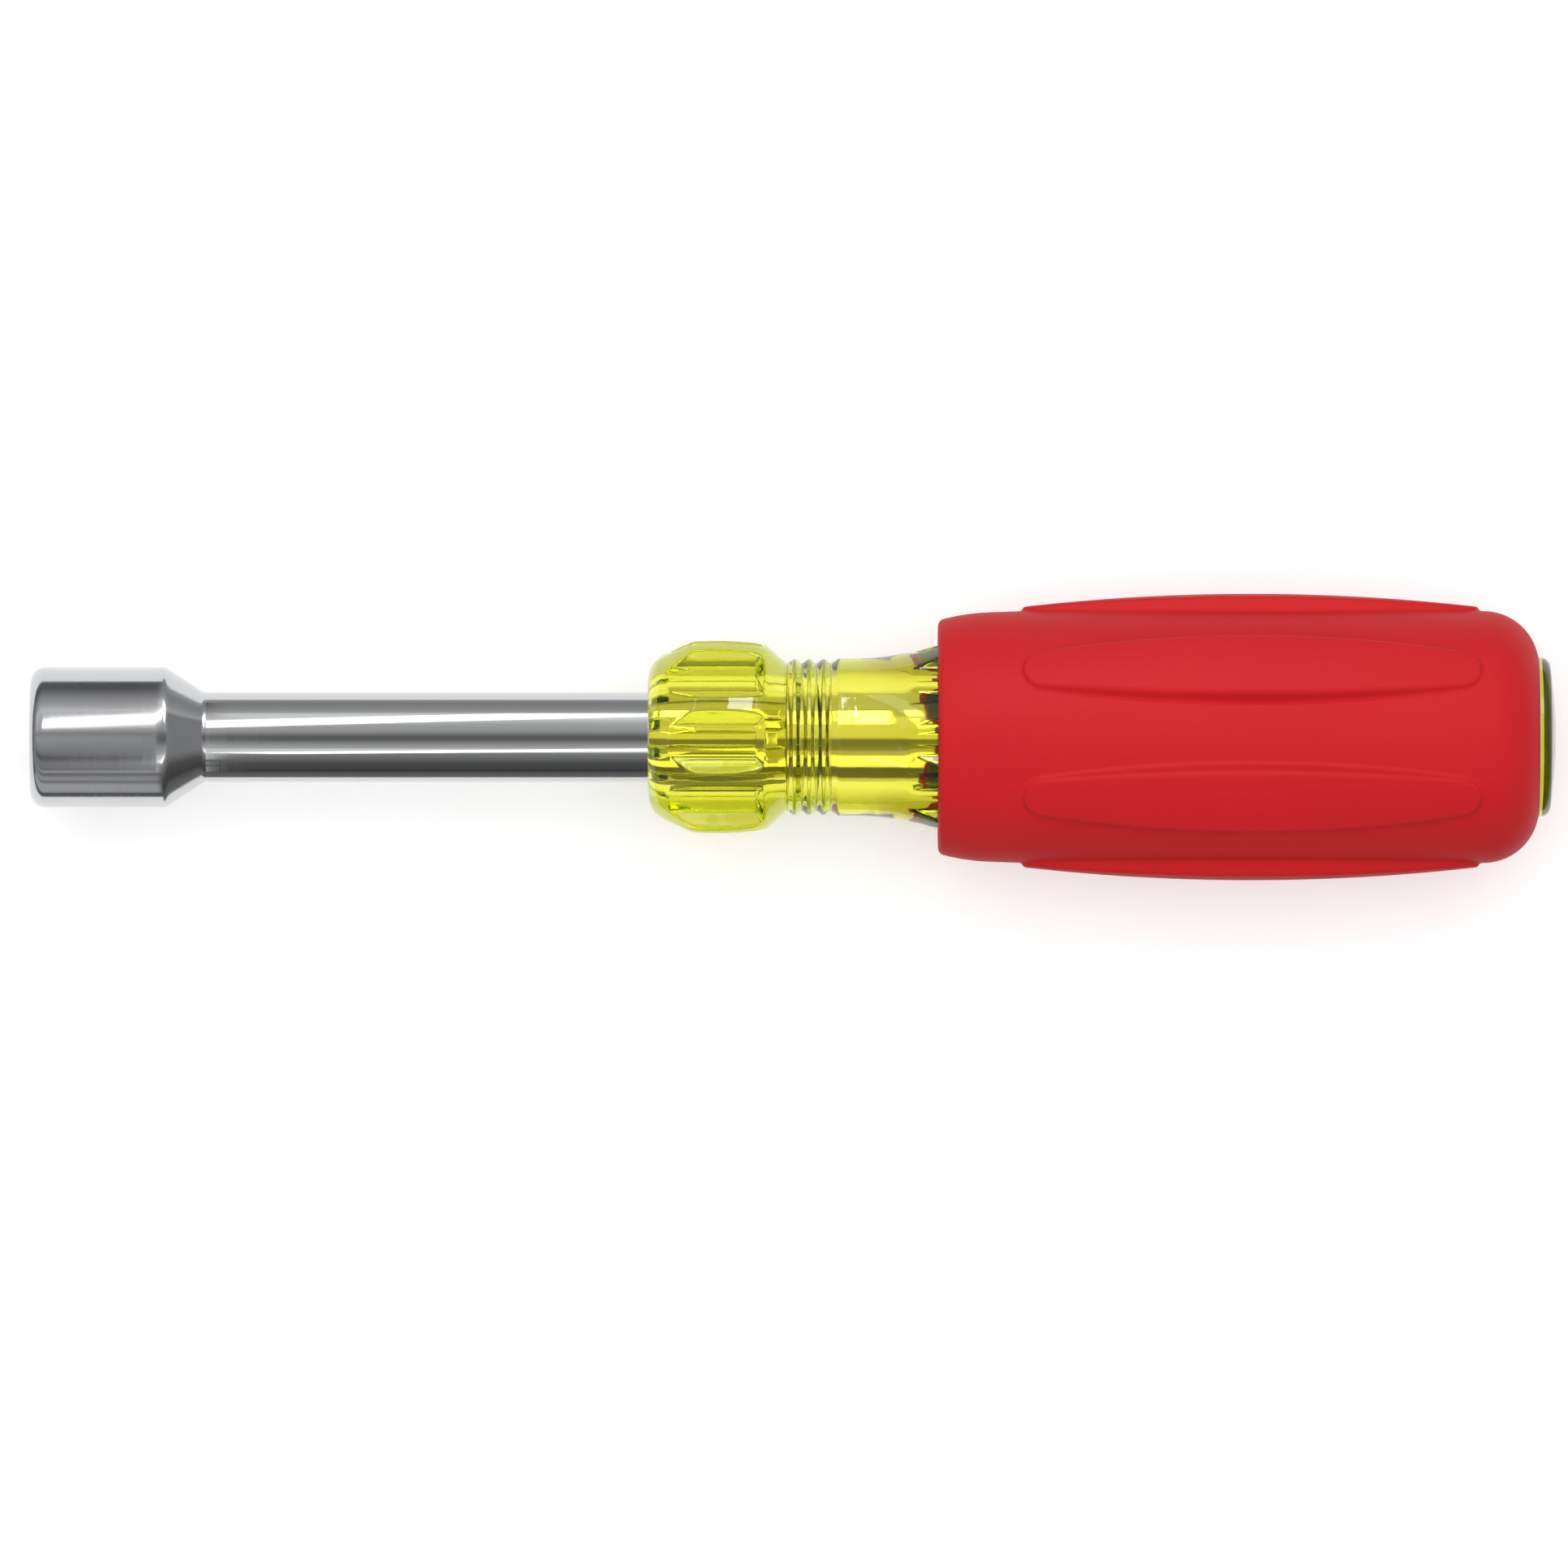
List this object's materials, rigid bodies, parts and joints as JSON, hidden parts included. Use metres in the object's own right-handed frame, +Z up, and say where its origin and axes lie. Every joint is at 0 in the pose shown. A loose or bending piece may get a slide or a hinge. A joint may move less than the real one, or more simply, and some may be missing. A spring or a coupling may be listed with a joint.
{
  "type": "nut driver",
  "caption": "Hollow-shaft hexagon nut driver with a chromed socket and tube, a clear fluted handle core with a knob and rings, and a soft sleeve grip with raised pads.",
  "frame": {"origin": "centre of the socket's mouth, where the tool meets the nut", "axes": "+X along the tool from the socket's mouth to the handle's domed end; +Z up, out of the bare panel between two pads of the grip"},
  "size_m": [0.1883, 0.0354, 0.0344],
  "materials": {
    "chromed_steel_socket": "polished nickel-chrome plate over machined steel",
    "chromed_steel_tube": "polished nickel-chrome plate over drawn tube",
    "clear_acetate": "clear yellow-green cellulose acetate, turned and vapour polished",
    "red_soft_vinyl": "fine satin moulded surface"
  },
  "bodies": {
    "root": {"hex_socket": "chromed_steel_socket", "hollow_shaft": "chromed_steel_tube", "handle_core": "clear_acetate", "cushion_grip": "red_soft_vinyl"}
  },
  "joints": []
}
